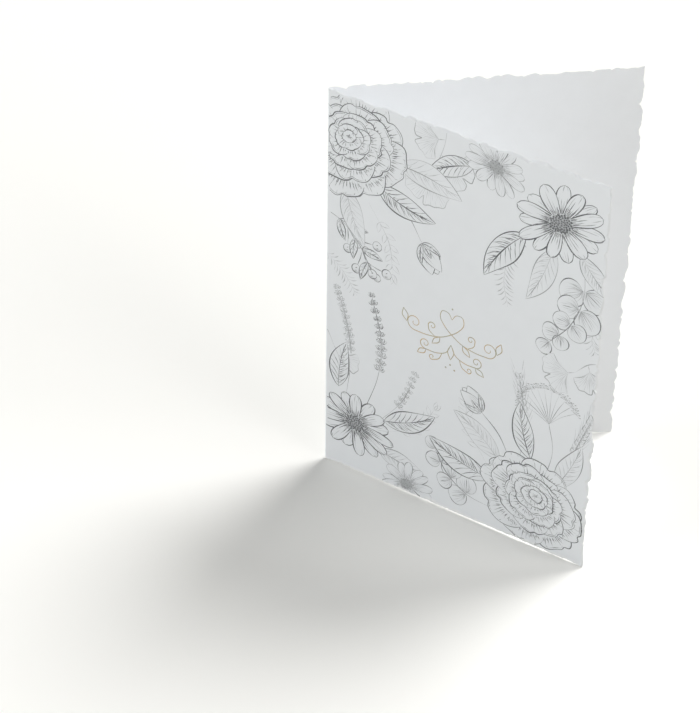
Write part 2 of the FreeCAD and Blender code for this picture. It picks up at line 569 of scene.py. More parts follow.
def blossom(art, centre, radius, tilt, squash=0.84, rings=(0.13, 0.25, 0.39, 0.56, 0.77, 1.0)):
    """A full, many-petalled bloom: rings of cupped petals round a tight heart, each with lines that
    run from its root towards its rim."""
    lay = tilted(centre, tilt, squash)
    lean = 0.22 * radius

    def put(angle, reach, ring):
        return lay(np.cos(angle) * reach, np.sin(angle) * reach + lean * (1 - ring))

    inner = 0.0
    for number, ring in enumerate(rings):
        petals = 3 + number
        start = art.vary(0, 6.3)
        for petal in range(petals):
            middle = start + 2 * math.pi * petal / petals + art.vary(-0.14, 0.14)
            span = math.pi / petals * art.vary(1.4, 1.7)
            size = radius * ring * art.vary(0.92, 1.06)
            part = np.linspace(-1, 1, 37)
            ripple = 0.025 * np.sin(art.vary(4, 8) * part + art.vary(0, 6))
            notch = 0.06 * np.exp(-((part - art.vary(-0.3, 0.3)) / 0.1) ** 2)
            reach = size * (1 - 0.26 * np.abs(part) ** 3.2 + ripple - notch)
            rim = put(middle + span * part, reach, ring)
            art.outline(rim, 0.8 + 0.25 * ring)
            if number > 1:
                first = art.random.randint(3, 16)
                fold = slice(first, first + art.random.randint(9, 16))
                art.hatch(put(middle + span * part[fold], reach[fold] - 0.7, ring), 0.7, 0.7)
            strokes = max(4, int(2 * span * size / 1.9))
            for index in range(strokes):
                at = (index + art.vary(0.2, 0.8)) / strokes * 2 - 1
                edge = np.interp(at, part, reach)
                angle = middle + span * at * 0.94 * np.linspace(0.8, 1.0, 9)
                far = inner + (edge - inner) * art.vary(0.2, 0.9)
                art.hatch(put(angle, np.linspace(0.9 * inner, far, 9), ring), 1.0, 0.35)
                if index % 2 == 0:
                    near = edge - art.vary(0.15, 0.4) * (edge - inner)
                    art.hatch(put(angle[-5:], np.linspace(edge * 0.985, near, 5), ring), 0.8, 0.3)
            shadows = int(2 * span * inner)
            for index in range(shadows):
                at = (index + art.vary(0, 1)) / max(shadows, 1) * 2 - 1
                edge = np.interp(at, part, reach)
                steps = np.linspace(0.93 * inner, inner + (edge - inner) * art.vary(0.08, 0.28), 5)
                art.hatch(put(middle + span * at * 0.9 + 0 * steps, steps, ring), 1.0, 0.6)
            art.cover([*rim, put(middle, 0.0, ring)], 0.06, put(middle, 0.75 * inner, ring), rim[18])
        inner = radius * ring


def daisy(art, centre, radius, tilt, petals=15, squash=0.8):
    """An open ray flower: narrow notched petals in two layers round a dark domed heart of florets."""
    lay = tilted(centre, tilt, squash)

    def on_petal(angle, away, off):
        """Line at distances along a petal's middle and off to its side."""
        cos, sin = math.cos(angle), math.sin(angle)
        return lay(away * cos - off * sin, away * sin + off * cos)

    heart = 0.25 * radius
    florets = int(heart * heart * 3.4)
    dot = np.linspace(0, 2 * math.pi, 9)
    for number in range(florets):
        angle = 2.39996 * number  # the golden angle, by which florets pack
        share = math.sqrt((number + 0.5) / florets)
        size = art.vary(0.20, 0.34)
        x = heart * share * math.cos(angle) + size * np.cos(dot)
        y = heart * share * math.sin(angle) + size * np.sin(dot)
        art.line("outlines", lay(x, y), 0.24 + 0.2 * share, art.vary(0.9, 1.1), ends=0.8)
    rim = np.linspace(0, 2 * math.pi, 30)
    art.cover(lay(heart * np.cos(rim), heart * np.sin(rim)), 0.5, centre, centre + np.array([0, 9 * heart]))
    for layer in (0, 1):
        for number in range(layer, petals, 2):
            middle = 2 * math.pi * (number + art.vary(-0.15, 0.15)) / petals
            length = radius * art.vary(0.9, 1.04)
            half = radius * art.vary(0.15, 0.185)
            part = np.linspace(0, 1, 17)
            swell = 0.42 + 0.58 * np.sin(math.pi * (0.06 + 0.62 * part)) ** 1.2
            wide = half * swell * np.sqrt(1 - part ** 6)
            away = heart * 0.8 + (length - heart * 0.8) * part
            bow = art.vary(-0.05, 0.05) * length * part ** 2
            left, right = (on_petal(middle, away, bow + off * wide) for off in (1, -1))
            art.outline(left)
            art.outline(right)
            for off in (-0.7, -0.45, 0.0, 0.4, 0.7):
                line = on_petal(middle, away, bow + off * wide)
                art.hatch(line[:art.random.randint(4, 7)], 1.0, 0.7)
            for off in (-0.6, -0.22, 0.18, 0.58):
                line = on_petal(middle, away, bow + off * wide)
                to = art.random.randint(6, 14)
                art.hatch(line[:to], 1.0, 0.3)
                if art.random.random() < 0.6:
                    art.hatch(line[16:to + 1:-1], 0.45, 0.4)
            art.cover([*left, *right[::-1]], 0.07, left[0], left[-1])


def stem(art, points, scale=1.0):
    path = curve(points, 40)
    art.outline(path, scale, 0.85)
    return path


def coin_branch(art, points, pairs, size):
    """A branch with pairs of round leaves that grow smaller towards its tip."""
    path = stem(art, points)
    round_leaf(art, path[-1], heading_on(path, 1.0), size * 0.55)
    for number in range(pairs, 0, -1):
        part = 0.08 + 0.86 * number / (pairs + 0.5)
        scale = size * (1.05 - 0.5 * part)
        for side in (1, -1):
            heading = heading_on(path, part) + side * art.vary(0.8, 1.25)
            round_leaf(art, place_on(path, part), heading, scale * art.vary(0.85, 1.1))


def bud(art, base, heading, length, fullness=0.26):
    part = np.linspace(0, 1, 9)
    half = fullness * length * np.sin(math.pi * part ** 0.7)
    spine = base + direction(heading) * (0.15 + part * length)[:, None]
    across = direction(heading + math.pi / 2)
    left, right = either_side(spine, across, half)
    art.outline(left, 0.7, 0.85)
    art.outline(right, 0.7, 0.85)
    art.hatch(spine[1:6] + across * 0.09 * length, 0.8, 0.5)
    art.hatch(spine[1:5] - across * 0.09 * length, 0.7, 0.5)
    art.cover([*left, *right[::-1]], 0.08, spine[0], spine[-1])


def spike(art, points, size=2.7):
    """A flower spike with whorls of small buds."""
    path = stem(art, points, 0.9)
    length = np.linalg.norm(np.diff(path, axis=0), axis=1).sum()
    whorls = int(0.60 * length / (size * 1.05))
    for number in range(whorls, -1, -1):
        part = 0.40 + 0.60 * number / whorls
        for swing in (0.05, -0.62, 0.66, -1.15, 1.2):
            heading = heading_on(path, part) + swing + art.vary(-0.12, 0.12)
            scale = size * art.vary(0.8, 1.1) * (1.15 - 0.45 * part)
            bud(art, place_on(path, part), heading, scale)


def rose_bud(art, points, size):
    """A half-open bud on a stem, in the grip of its sepals."""
    path = stem(art, points)
    base, up = path[-1], heading_on(path, 1.0)
    for swing, length in ((-0.75, 0.8), (0.8, 0.75), (0.1, 0.55)):
        pointed_leaf(art, base, up + swing, size * length, size * 0.22, -swing, 3)
    for swing, full in ((0.16, 0.30), (-0.22, 0.34), (0.0, 0.40)):
        part = np.linspace(0, 1, 21)
        half = full * size * np.sin(math.pi * part ** 0.75) ** 0.8
        spine = base + direction(up + swing) * (part * size * (1.0 + 0.25 * full))[:, None]
        across = direction(up + swing + math.pi / 2)
        left, right = either_side(spine, across, half)
        art.outline(left)
        art.outline(right)
        for offset in np.linspace(-0.75, 0.75, 7):
            line = spine + across * (offset * half)[:, None]
            art.hatch(line[1:art.random.randint(9, 17)], 0.9, 0.3)
        art.cover([*left, *right[::-1]], 0.08, spine[0], spine[-1])


def berry(art, centre, radius):
    angle = np.linspace(0, 2 * math.pi, 25)
    rim = centre + radius * direction(angle)
    art.outline(rim, 0.85, 0.9)
    for number in range(4):
        arc = np.linspace(-2.5 + 0.16 * number, -0.9 - 0.12 * number, 10)
        art.hatch(centre + radius * (0.84 - 0.2 * number) * direction(arc), 0.85, 0.8)
    glint = centre + np.array([[-0.22, 0.1], [0.0, 0.2], [0.2, 0.3]]) * radius
    art.line("outlines", glint, 0.35, 1.0)
    art.cover(rim, 0.08, centre - (0, radius), centre + (0, radius))


def berry_branch(art, points, twigs, radius):
    """A branch whose twigs end in round berries, with small leaves between them."""
    path = stem(art, points)
    berry(art, path[-1], radius)
    for number in range(twigs, 0, -1):
        part = 0.12 + 0.8 * number / (twigs + 0.4)
        side = 1 if number % 2 else -1
        base, up = place_on(path, part), heading_on(path, part)
        for swing, reach, scale in ((0.85, 1.0, 1.0), (0.2, 0.75, 0.85)):
            reach *= radius * art.vary(2.6, 3.8)
            end = base + direction(up + side * swing) * reach
            art.outline(bowed(base, end, direction(up) * 0.3, 10), 0.75)
            berry(art, end + direction(up + side * swing) * radius, radius * scale * art.vary(0.9, 1.05))
        pointed_leaf(art, base, up - side * 0.9, radius * 4.6, radius * 1.7, side * 0.4, 4)


def umbel(art, points, size, rays=11):
    """A flat flower head: thin rays from one point, each with a cluster of tiny flowers."""
    path = stem(art, points, 0.9)
    top, up = path[-1], heading_on(path, 1.0)
    for ray in range(rays):
        swing = (ray / (rays - 1) * 2 - 1) * 1.05
        end = top + direction(up + swing) * size * (0.88 + 0.16 * math.cos(swing * 1.2))
        art.hatch(bowed(top, end, direction(up) * size * 0.05, 14), 0.85, 0.9, 1.2)
        for floret in range(7):
            angle = up + swing * 0.7 + (floret - 3) * 0.5
            tip = end + direction(angle) * size * art.vary(0.10, 0.17)
            art.hatch([end, tip], 0.8, 1.0)
            art.line("outlines", [tip - (0.35, 0.05), tip + (0.35, 0.06)], 0.5, art.vary(0.6, 1.0), ends=0.7)


def grass_ear(art, points, grains=9, size=3.9):
    """An ear of grass with awns."""
    path = stem(art, points, 0.9)
    for number in range(grains, -1, -1):
        part = 0.45 + 0.55 * number / grains
        base, up = place_on(path, part), heading_on(path, part)
        for side in (1, -1):
            heading = up + side * art.vary(0.32, 0.45)
            bud(art, base, heading, size * (1.05 - 0.25 * part))
            tip = base + direction(heading) * size
            end = tip + direction(heading * 0.7 + up * 0.3) * size * 1.4
            art.hatch([tip, end], 0.7, 0.5)


def soft_frond(art, points, pairs, length, tone=0.5):
    """A pale frond of short soft strokes beside a thin stem."""
    path = curve(points, 40)
    art.faint(path, tone, 0.6)
    for number in range(pairs):
        part = 0.12 + 0.86 * number / pairs
        base, up = place_on(path, part), heading_on(path, part)
        reach = length * math.sin(math.pi * (0.12 + 0.8 * part)) ** 0.7
        for side in (1, -1):
            end = base + direction(up + side * art.vary(0.85, 1.1)) * reach
            line = bowed(base, end, direction(up) * 0.12 * reach, 10)
            art.faint(line, tone * art.vary(0.75, 1.15), 1.5)


def sprout(art, points, pairs, size, tone=0.55):
    """A thin pale sprig with open outlines of small leaves."""
    path = curve(points, 40)
    art.faint(path, tone, 0.7)
    part = np.linspace(0, 1, 11)
    half = 0.2 * size * np.sin(math.pi * part ** 0.8)
    for number in range(pairs + 1):
        at = 0.25 + 0.75 * number / pairs
        for side in (1, -1):
            angle = heading_on(path, at) + side * (0.75 if number < pairs else 0.25)
            spine = place_on(path, at) + direction(angle) * (part * size)[:, None]
            for edge in either_side(spine, direction(angle + math.pi / 2), half):
                art.faint(edge, tone, 0.7)


def ginkgo_spray(art, points, leaves):
    """A spray of fan-shaped leaves, each given by its base, its heading and its size."""
    stem(art, points, 1.1)
    for base, heading, size in leaves:
        stalk = base + direction(heading) * size * 0.3
        art.outline([base, stalk], 0.9)
        ginkgo_leaf(art, stalk, heading, size)


# Border of the front leaf, from the front backwards: each motif's weight, its function and its
# settings. Places are (distance from the bend, height), and what grows from a flower starts inside
# it. The middle stays bare for the ornament.
BORDER = (
    (1.25, blossom, (9.5, 131.0), 22.0, 0.5),
    (1.25, blossom, (83.5, 18.5), 21.0, -0.4),
    (1.45, daisy, (87.0, 129.5), 17.0, 0.4),
    (1.45, daisy, (12.0, 21.0), 16.0, -0.2),
    (0.7, daisy, (63.0, 141.5), 12.0, -0.5, 14),
    (0.7, daisy, (34.0, 4.0), 11.5, 0.6, 13),
    # Leaves behind the flowers, some of them darker than the rest
    (0.7, pointed_leaf, (27.0, 130.0), -0.1, 25.0, 9.5, -0.5),
    (1.45, pointed_leaf, (19.0, 120.0), -0.4, 24.0, 8.5, 0.5),
    (0.65, pointed_leaf, (7.0, 115.0), -1.3, 22.0, 8.5, 0.4),
    (1.45, pointed_leaf, (75.0, 121.0), -2.3, 25.0, 9.5, 0.5),
    (0.65, pointed_leaf, (85.0, 120.0), -1.85, 24.0, 8.0, -0.4),
    (1.3, pointed_leaf, (55.0, 139.0), -2.8, 19.0, 7.5, 0.4),
    (0.7, pointed_leaf, (95.0, 121.0), -0.9, 18.0, 7.0, 0.4),
    (1.45, pointed_leaf, (67.0, 21.0), 2.95, 26.0, 9.5, -0.5),
    (0.65, pointed_leaf, (70.0, 30.0), 2.4, 23.0, 8.5, 0.5),
    (1.3, pointed_leaf, (82.0, 36.0), 1.9, 22.0, 8.0, -0.4),
    (0.7, pointed_leaf, (92.0, 29.0), 1.1, 22.0, 8.0, 0.3),
    (1.3, pointed_leaf, (24.0, 27.0), 0.35, 23.0, 8.5, 0.5),
    (0.7, pointed_leaf, (22.0, 14.0), -0.2, 19.0, 7.5, 0.3),
    (1.3, pointed_leaf, (5.0, 34.0), 1.5, 20.0, 8.0, -0.4),
    # Pale sprays that come in over the sheet's edges
    (0.55, ginkgo_spray, [(45.0, 153.0), (44.0, 143.0), (40.5, 133.0)], (
        ((40.5, 133.0), -1.9, 11.0), ((43.0, 139.0), -0.6, 10.0), ((44.3, 145.0), -2.9, 9.0))),
    (0.55, ginkgo_spray, [(108.0, 84.0), (101.0, 82.0), (96.0, 77.0)], (
        ((96.0, 77.0), -2.7, 9.5), ((100.5, 81.5), -1.3, 8.5))),
    (0.55, ginkgo_spray, [(-4.0, 60.0), (0.0, 56.0), (3.0, 50.0)], (((3.0, 50.0), -0.9, 9.0),)),
    # Branches, buds and ears
    (0.85, coin_branch, [(96.0, 120.0), (97.0, 106.0), (93.0, 94.0), (86.0, 85.0)], 4, 5.6),
    (0.85, coin_branch, [(68.0, 9.0), (58.0, 10.5), (50.0, 16.0), (45.0, 24.0)], 3, 5.0),
    (1.0, berry_branch, [(-2.0, 104.0), (6.0, 101.0), (13.0, 94.0), (18.0, 85.0)], 5, 1.8),
    (1.0, rose_bud, [(18.0, 122.0), (30.0, 114.0), (37.0, 104.0)], 10.5),
    (1.0, spike, [(15.0, 26.0), (21.0, 44.0), (22.0, 60.0), (18.0, 76.0)]),
    (0.7, spike, [(8.0, 30.0), (10.0, 48.0), (8.0, 62.0), (4.0, 74.0)], 2.5),
    (0.7, spike, [(22.0, 26.0), (31.0, 38.0), (36.0, 51.0)], 2.4),
    (0.9, rose_bud, [(76.0, 28.0), (70.0, 40.0), (62.5, 47.0)], 9.5),
    (0.75, umbel, [(87.0, 28.0), (90.0, 42.0), (88.0, 53.0)], 13.0),
    (0.75, grass_ear, [(91.0, 26.0), (98.0, 46.0), (103.0, 60.0)]),
    (0.75, grass_ear, [(77.0, 28.0), (79.0, 48.0), (76.0, 66.0)], 8, 3.6),
    # Thin pale fronds and sprigs behind the rest
    (1.0, soft_frond, [(76.0, 124.0), (70.0, 112.0), (68.0, 102.0), (70.0, 92.0)], 15, 4.8),
    (1.0, soft_frond, [(-2.0, 88.0), (6.0, 82.0), (12.0, 74.0)], 11, 4.2, 0.42),
    (1.0, soft_frond, [(104.0, 100.0), (101.0, 92.0), (103.0, 86.0)], 8, 4.0, 0.42),
    (1.0, sprout, [(66.0, 26.0), (58.0, 38.0), (56.0, 50.0)], 5, 4.4),
    (1.0, sprout, [(24.0, 22.0), (38.0, 30.0), (44.0, 40.0)], 5, 4.0),
    (1.0, sprout, [(16.0, 112.0), (24.0, 100.0), (26.0, 88.0)], 5, 4.2),
)


def draw_front(art):
    for weight, motif, *settings in BORDER:
        art.weight = weight
        motif(art, *settings)


# Gold ornament

def scroll(points, eye, size, turns=1.3, entry=-math.pi / 2):
    """A flowing line through points that ends in a curl round an eye, entered from an angle."""
    curl = np.linspace(0, 1, 40)
    angle = entry + curl * turns * 2 * math.pi
    spiral = eye + direction(angle) * size * (1 - 0.84 * curl)[:, None]
    return np.concatenate([curve([*points, tuple(spiral[0])], 60)[:-1], spiral])


def leaf_pair(base, left, right, tip):
    return [curve([base, left, tip], 14), curve([base, right, tip], 14)]


def ornament_lines():
    """Lines of the ornament about its own centre, X to the right and Y up: two strands that cross
    under an open heart and run out into scrolls, over a smaller tier with a drop and dots."""
    heart = [(0.0, 8.4), (-1.5, 10.6), (-3.9, 10.6), (-4.5, 7.8), (-2.7, 4.9), (0.0, 2.5)]
    half = [
        scroll([*heart, (4.2, 0.0), (9.4, -1.1)], (14.4, 2.1), 3.2),
        scroll([(6.2, -0.7), (8.6, 1.0)], (7.5, 3.2), 1.6, 1.1, 0.0),
        scroll([(0.0, -1.6), (1.9, -5.3), (5.8, -6.9)], (10.0, -4.7), 2.2),
        scroll([(3.4, -6.3), (4.6, -8.9)], (7.2, -9.0), 1.2, 1.0),
        curve([(0.0, -1.6), (1.2, -4.6), (0.0, -7.6)], 18),
        *leaf_pair((17.5, 1.3), (19.3, 3.4), (17.1, 3.9), (18.9, 6.2)),
        *leaf_pair((4.4, -0.1), (4.8, -2.4), (6.6, -1.4), (7.4, -3.7)),
        *leaf_pair((9.6, -6.9), (10.4, -8.8), (12.0, -7.5), (13.0, -9.4)),
    ]
    lines = half + [line * (-1, 1) for line in half]
    dot = np.linspace(0, 2 * math.pi, 13)
    for x, y in ((0.0, -9.6), (-1.7, -11.2), (1.7, -11.2), (0.0, 12.6)):
        lines.append(np.stack([x + 0.2 * np.cos(dot), y + 0.2 * np.sin(dot)], 1))
    return lines


# Meshes

def new_piece(name, points, faces, material, attributes=()):
    """A piece of the card in the shared frame, from points in millimetres, held to the solid's box."""
    mesh = bpy.data.meshes.new(name)
    mesh.from_pydata(np.clip(np.asarray(points) * MM, *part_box("card")), [], faces)
    for attribute, values in attributes:
        mesh.attributes.new(attribute, "FLOAT", "POINT").data.foreach_set(
            "value", np.asarray(values, np.float32))
    mesh.materials.append(material)
    mesh.update()
    piece = bpy.data.objects.new(name, mesh)
    bpy.context.scene.collection.objects.link(piece)
    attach(piece, "root")
    return piece


def thinned(points, most_turn, most_length):
    """Indices of the points that a line needs: closer together where it turns more."""
    steps = np.diff(points, axis=0)
    lengths = np.linalg.norm(steps, axis=1)
    angles = np.unwrap(np.arctan2(steps[:, 1], steps[:, 0]))
    turns = np.concatenate([np.abs(np.diff(angles)), [0]])
    measure = np.concatenate([[0], np.cumsum(turns / most_turn + lengths / most_length)])
    even = np.linspace(0, measure[-1], max(3, math.ceil(measure[-1])) + 1)
    return np.unique(np.searchsorted(measure, even).clip(0, len(points) - 1))


class Ribbons:
    """Closed low ridges of ink or foil along lines on the front leaf's outer face."""

    def __init__(self, rise, flank):
        self.rise = rise
        self.flank = flank  # tone of a ridge's flanks, as a share of its crest's
        self.points = []
        self.tones = []
        self.faces = []
        self.count = 0

    def add(self, points, widths, tones, most_turn=0.3, most_length=1.6):
        keep = thinned(points, most_turn, most_length)
        points, widths, tones = points[keep], widths[keep], tones[keep]
        ahead = np.gradient(points, axis=0)
        ahead /= np.linalg.norm(ahead, axis=1, keepdims=True) + 1e-9
        across = ahead[:, ::-1] * (-1, 1) * np.maximum(widths, 0.05)[:, None] / 2
        rows = np.stack([points + across, points, points - across], 1).reshape(-1, 2)
        lifts = np.tile([-SINK, self.rise, -SINK], len(points))
        along = FRONT * (BEND_REACH + rows[:, 0])
        self.points.append(on_sheet(along, rows[:, 1], FOLD_OUTER_RADIUS + lifts))
        self.tones.append((tones[:, None] * (self.flank, 1, self.flank)).reshape(-1))
        for index in range(len(points) - 1):
            a = self.count + 3 * index
            self.faces += [(a, a + 1, a + 4, a + 3), (a + 1, a + 2, a + 5, a + 4), (a + 2, a, a + 3, a + 5)]
        last = self.count + 3 * (len(points) - 1)
        self.faces += [(self.count, self.count + 2, self.count + 1), (last, last + 1, last + 2)]
        self.count += 3 * len(points)

    def piece(self, name, slot, material):
        points = np.concatenate(self.points)
        tones = np.concatenate(self.tones)
        new_piece(name, points, self.faces, material, [("tone", np.clip(tones, 0, 1))])


def lattice(spacing, low, high):
    """Staggered rows of points that fill a rectangle."""
    rows = np.arange(low[1], high[1], spacing * 0.87)
    columns = np.arange(low[0], high[0], spacing)
    x, y = np.meshgrid(columns, rows)
    x = x + (np.arange(len(rows)) % 2)[:, None] * spacing / 2
    return np.stack([x.ravel(), y.ravel()], 1)


def face_mesh(edges, outline, spacings):
    """Triangles of one face of the unrolled sheet: its outline first, then the bend's columns, then
    each leaf's lattice, finer beside the torn edges."""
    points = [outline]
    count = len(outline)
    constraints = [(index, (index + 1) % count) for index in range(count)]
    bend = np.linspace(-BEND_REACH, BEND_REACH, BEND_STEPS + 1)
    tops = np.nonzero(edges.inwards[:, 1] < 0)[0]
    feet = np.nonzero(edges.inwards[:, 1] > 0)[0]
    rows = np.linspace(0, 1, FOLD_ROWS + 1)[1:-1]
    for along in bend:
        top = tops[np.argmin(np.abs(outline[tops, 0] - along))]
        foot = feet[np.argmin(np.abs(outline[feet, 0] - along))]
        low, high = outline[foot, 1], outline[top, 1]
        first = count
        points.append(np.stack([0 * rows + along, low + rows * (high - low)], 1))
        count += len(rows)
        columns = [foot, *range(first, count), top]
        constraints += list(zip(columns[:-1], columns[1:]))
    for side in (FRONT, BACK):
        left, right = sorted((side * BEND_REACH, side * (BEND_REACH + FLAT_LENGTH)))
        rings = [step for step in RING_SPACINGS if step < spacings[side]] + [spacings[side]]
        least = RING_MARGIN
        for number, step in enumerate(rings):
            most = math.inf if number == len(rings) - 1 else 1.6 * step
            grid = lattice(step, (left, 0), (right, LEAF_HEIGHT))
            room = np.minimum(edges.room(grid, outline, side), side * grid[:, 0] - BEND_REACH)
            start = least + 0.35 * step
            points.append(grid[(room > start) & (room < start + most)])
            least += most
    points = np.concatenate(points)
    verts, _, faces, origins, _, _ = delaunay_2d_cdt(
        [Vector(point) for point in points], constraints, [list(range(len(outline)))], 1, 1e-7)
    if len(verts) != len(points):
        raise ValueError("a face's points meet: change its lattice")
    order = np.array([origin[0] for origin in origins])
    return points, [tuple(int(order[corner]) for corner in face) for face in faces]


def make_sheet(edges, art, material):
    """The folded sheet as one closed mesh: two faces, joined by the torn band's rows."""
    outer_points, outer_faces = face_mesh(edges, edges.outer, {FRONT: FINE_LATTICE, BACK: PLAIN_LATTICE})
    inner_points, inner_faces = face_mesh(edges, edges.inner, {FRONT: PLAIN_LATTICE, BACK: PLAIN_LATTICE})
    count = len(edges.outer)
    # Whiteness of the torn band: the bared fibre's colour, with painted highlight along the lower edge and
    # painted glints from the noise
    bared_and_glints = np.where(edges.inwards[:, 1] > 0, LOWER_WHITENESS_AND_HIGHLIGHT, UPPER_WHITENESS_AND_HIGHLIGHT)
    bared_and_glints = np.clip(bared_and_glints * (1 + 0.6 * smooth_noise(count, 9.0, 23)), 0, 1)
    noise = np.random.default_rng(5)
    places = [on_sheet(outer_points[:, 0], outer_points[:, 1], FOLD_OUTER_RADIUS)]
    torn = [np.append(0.8 * bared_and_glints, np.zeros(len(outer_points) - count))]
    rows = [np.arange(count)]
    total = len(outer_points)
    for row in range(1, BAND_ROWS):
        part = row / BAND_ROWS
        between = edges.outer * (1 - part) + edges.inner * part
        depth = (1 - part) ** 0.75 + 0.16 * math.sin(math.pi * part) * noise.uniform(-1, 1, count)
        radius = FOLD_INNER_RADIUS + (FOLD_OUTER_RADIUS - FOLD_INNER_RADIUS) * np.clip(depth, 0.02, 0.98)
        places.append(on_sheet(between[:, 0], between[:, 1], radius))
        torn.append(bared_and_glints)
        rows.append(total + np.arange(count))
        total += count
    rows.append(total + np.arange(count))
    places.append(on_sheet(inner_points[:, 0], inner_points[:, 1], FOLD_INNER_RADIUS))
    torn.append(np.append(bared_and_glints, np.zeros(len(inner_points) - count)))
    faces = list(outer_faces)
    faces += [tuple(total + corner for corner in face[::-1]) for face in inner_faces]
    following = np.roll(np.arange(count), -1)
    for upper, lower in zip(rows[:-1], rows[1:]):
        faces += np.stack([upper, lower, lower[following], upper[following]], 1).tolist()
    points = np.concatenate(places)
    wash = np.zeros(len(points))
    flat = np.stack([FRONT * outer_points[:, 0] - BEND_REACH, outer_points[:, 1]], 1)
    wash[:len(flat)] = art.wash(flat)
    sheet = new_piece("card_sheet", points, faces, material,
                      [("torn", np.concatenate(torn)), ("wash", wash)])
    shell = bmesh.new()
    shell.from_mesh(sheet.data)
    bmesh.ops.recalc_face_normals(shell, faces=shell.faces)
    shell.to_mesh(sheet.data)
    shell.free()
    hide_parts("card")


def make_fibres(edges, material):
    """Fine hairs of cotton that stand out of the torn edges, none past the solid's box."""
    pick = np.random.default_rng(31)
    low, high = (np.array(corner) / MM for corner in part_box("card"))
    part = np.linspace(0, 1, FIBRE_POINTS)
    points, faces = [], []
    for _ in range(FIBRE_COUNT):
        index = pick.integers(len(edges.inner))
        root = edges.inner[index] + edges.inwards[index] * 0.15
        outward = -edges.inwards[index]
        angle = math.atan2(outward[1], outward[0]) + pick.normal(0, 0.75)
        bend = pick.normal(0, 0.9)
        length = pick.uniform(*FIBRE_LENGTH)
        path = root + np.cumsum(direction(angle + bend * part) * length / FIBRE_POINTS, 0)
        depth = FOLD_INNER_RADIUS + 0.05 + pick.uniform(0, 0.15) + pick.normal(0, 0.12) * part
        middle = on_sheet(path[:, 0], path[:, 1], depth)
        ahead = np.gradient(middle, axis=0)
        ahead /= np.linalg.norm(ahead, axis=1, keepdims=True)
        side = np.cross(ahead, (0.3, 0.8, 0.5))
        side /= np.linalg.norm(side, axis=1, keepdims=True)
        other = np.cross(ahead, side)
        size = FIBRE_RADIUS * np.linspace(1, 0.35, FIBRE_POINTS)[:, None]
        turns = [math.radians(turn) for turn in (90, 210, 330)]
        tube = np.stack([middle + size * (math.cos(t) * side + math.sin(t) * other) for t in turns], 1)
        tube = tube.reshape(-1, 3)
        if (tube.min(0) < low).any() or (tube.max(0) > high).any():
            continue
        first = len(tube) * len(points)
        last = first + len(tube) - 3
        points.append(tube)
        for row in range(first, last, 3):
            faces += [(row + a, row + b, row + b + 3, row + a + 3) for a, b in ((0, 1), (1, 2), (2, 0))]
        faces += [(first + 2, first + 1, first), (last, last + 1, last + 2)]
    new_piece("edge_fibres", np.concatenate(points), faces, material)


def make_print(art, material):
    for kind, (rise, flank) in PRINT_RIDGES.items():
        ribbons = Ribbons(rise, flank)
        for points, widths, tones in art.runs[kind]:
            ribbons.add(points, widths, tones)
        ribbons.piece("print_" + kind, "print_ink", material)


def make_ornament(material):
    ribbons = Ribbons(FOIL_RISE, 1.0)
    for line in ornament_lines():
        points = resampled(line + np.array(ORNAMENT_CENTRE), 0.12)
        part = np.linspace(0, 1, len(points))
        widths = FOIL_WIDTH * (0.55 + 0.45 * np.sin(math.pi * part) ** 0.5)
        ribbons.add(points, widths, np.ones(len(points)), 0.16, 1.0)
    ribbons.piece("foil_ornament", "gold_foil", material)


# Materials

def new_material(name):
    material = bpy.data.materials.new(name)
    material.use_nodes = True
    tree = material.node_tree
    return material, tree, tree.nodes["Principled BSDF"]


def set_inputs(node, values):
    """Sets a node's inputs, or links them where the value is another node's output. A colour is opaque."""
    for name, value in values.items():
        if isinstance(value, bpy.types.NodeSocket):
            node.id_data.links.new(value, node.inputs[name])
        elif isinstance(value, tuple):
            node.inputs[name].default_value = (*value, 1)
        else:
            node.inputs[name].default_value = value


def add_node(tree, kind, inputs, **settings):
    node = tree.nodes.new("ShaderNode" + kind)
    for name, value in settings.items():
        setattr(node, name, value)
    set_inputs(node, inputs)
    return node


def add_noise(tree, scale, detail=3.0):
    place = add_node(tree, "TexCoord", {}).outputs["Object"]
    inputs = {"Vector": place, "Scale": scale, "Detail": detail, "Roughness": 0.55}
    return add_node(tree, "TexNoise", inputs).outputs["Fac"]


def add_ramp(tree, source, low, high, start=0.0, end=1.0):
    """Maps a value onto a range, held at its ends."""
    inputs = {"Value": source, "From Min": low, "From Max": high, "To Min": start, "To Max": end}
    return add_node(tree, "MapRange", inputs, clamp=True).outputs["Result"]


def add_mix(tree, factor, first, second):
    inputs = {"Factor": factor, MIX_FIRST: first, MIX_SECOND: second}
    return add_node(tree, "Mix", inputs, data_type="RGBA").outputs[MIX_RESULT]


def add_math(tree, operation, first, second):
    return add_node(tree, "Math", {0: first, 1: second}, operation=operation).outputs["Value"]


def add_bump(tree, height, distance, strength, **more):
    inputs = {"Height": height, "Distance": distance, "Strength": strength, **more}
    return add_node(tree, "Bump", inputs).outputs["Normal"]


def add_attribute(tree, name):
    return add_node(tree, "Attribute", {}, attribute_name=name).outputs["Fac"]


def add_seen(tree):
    """1 for rays from the camera and for reflected ones, which see the pale background."""
    path = add_node(tree, "LightPath", {})
    return add_math(tree, "MAXIMUM", path.outputs["Is Camera Ray"], path.outputs["Is Glossy Ray"])


def paper_surface(tree, shader):
    """Felt-marked cotton paper: its colour, and the relief on the shader."""
    fibres = add_noise(tree, FIBRE_SCALE, 2.0)
    mottle = add_noise(tree, MOTTLE_SCALE, 2.0)
    felt = add_bump(tree, add_noise(tree, FELT_SCALE), FELT_DEPTH, 0.55)
    set_inputs(shader, {
        "Normal": add_bump(tree, fibres, FIBRE_DEPTH, 0.5, Normal=felt),
        "Roughness": add_ramp(tree, fibres, 0.3, 0.7, 0.78, 0.92),
        "Specular IOR Level": PAPER_SHEEN,
    })
    deep, pale = (tuple(share * channel for channel in PAPER) for share in MOTTLE_SHARES)
    return add_mix(tree, add_ramp(tree, mottle, 0.3, 0.7), deep, pale)


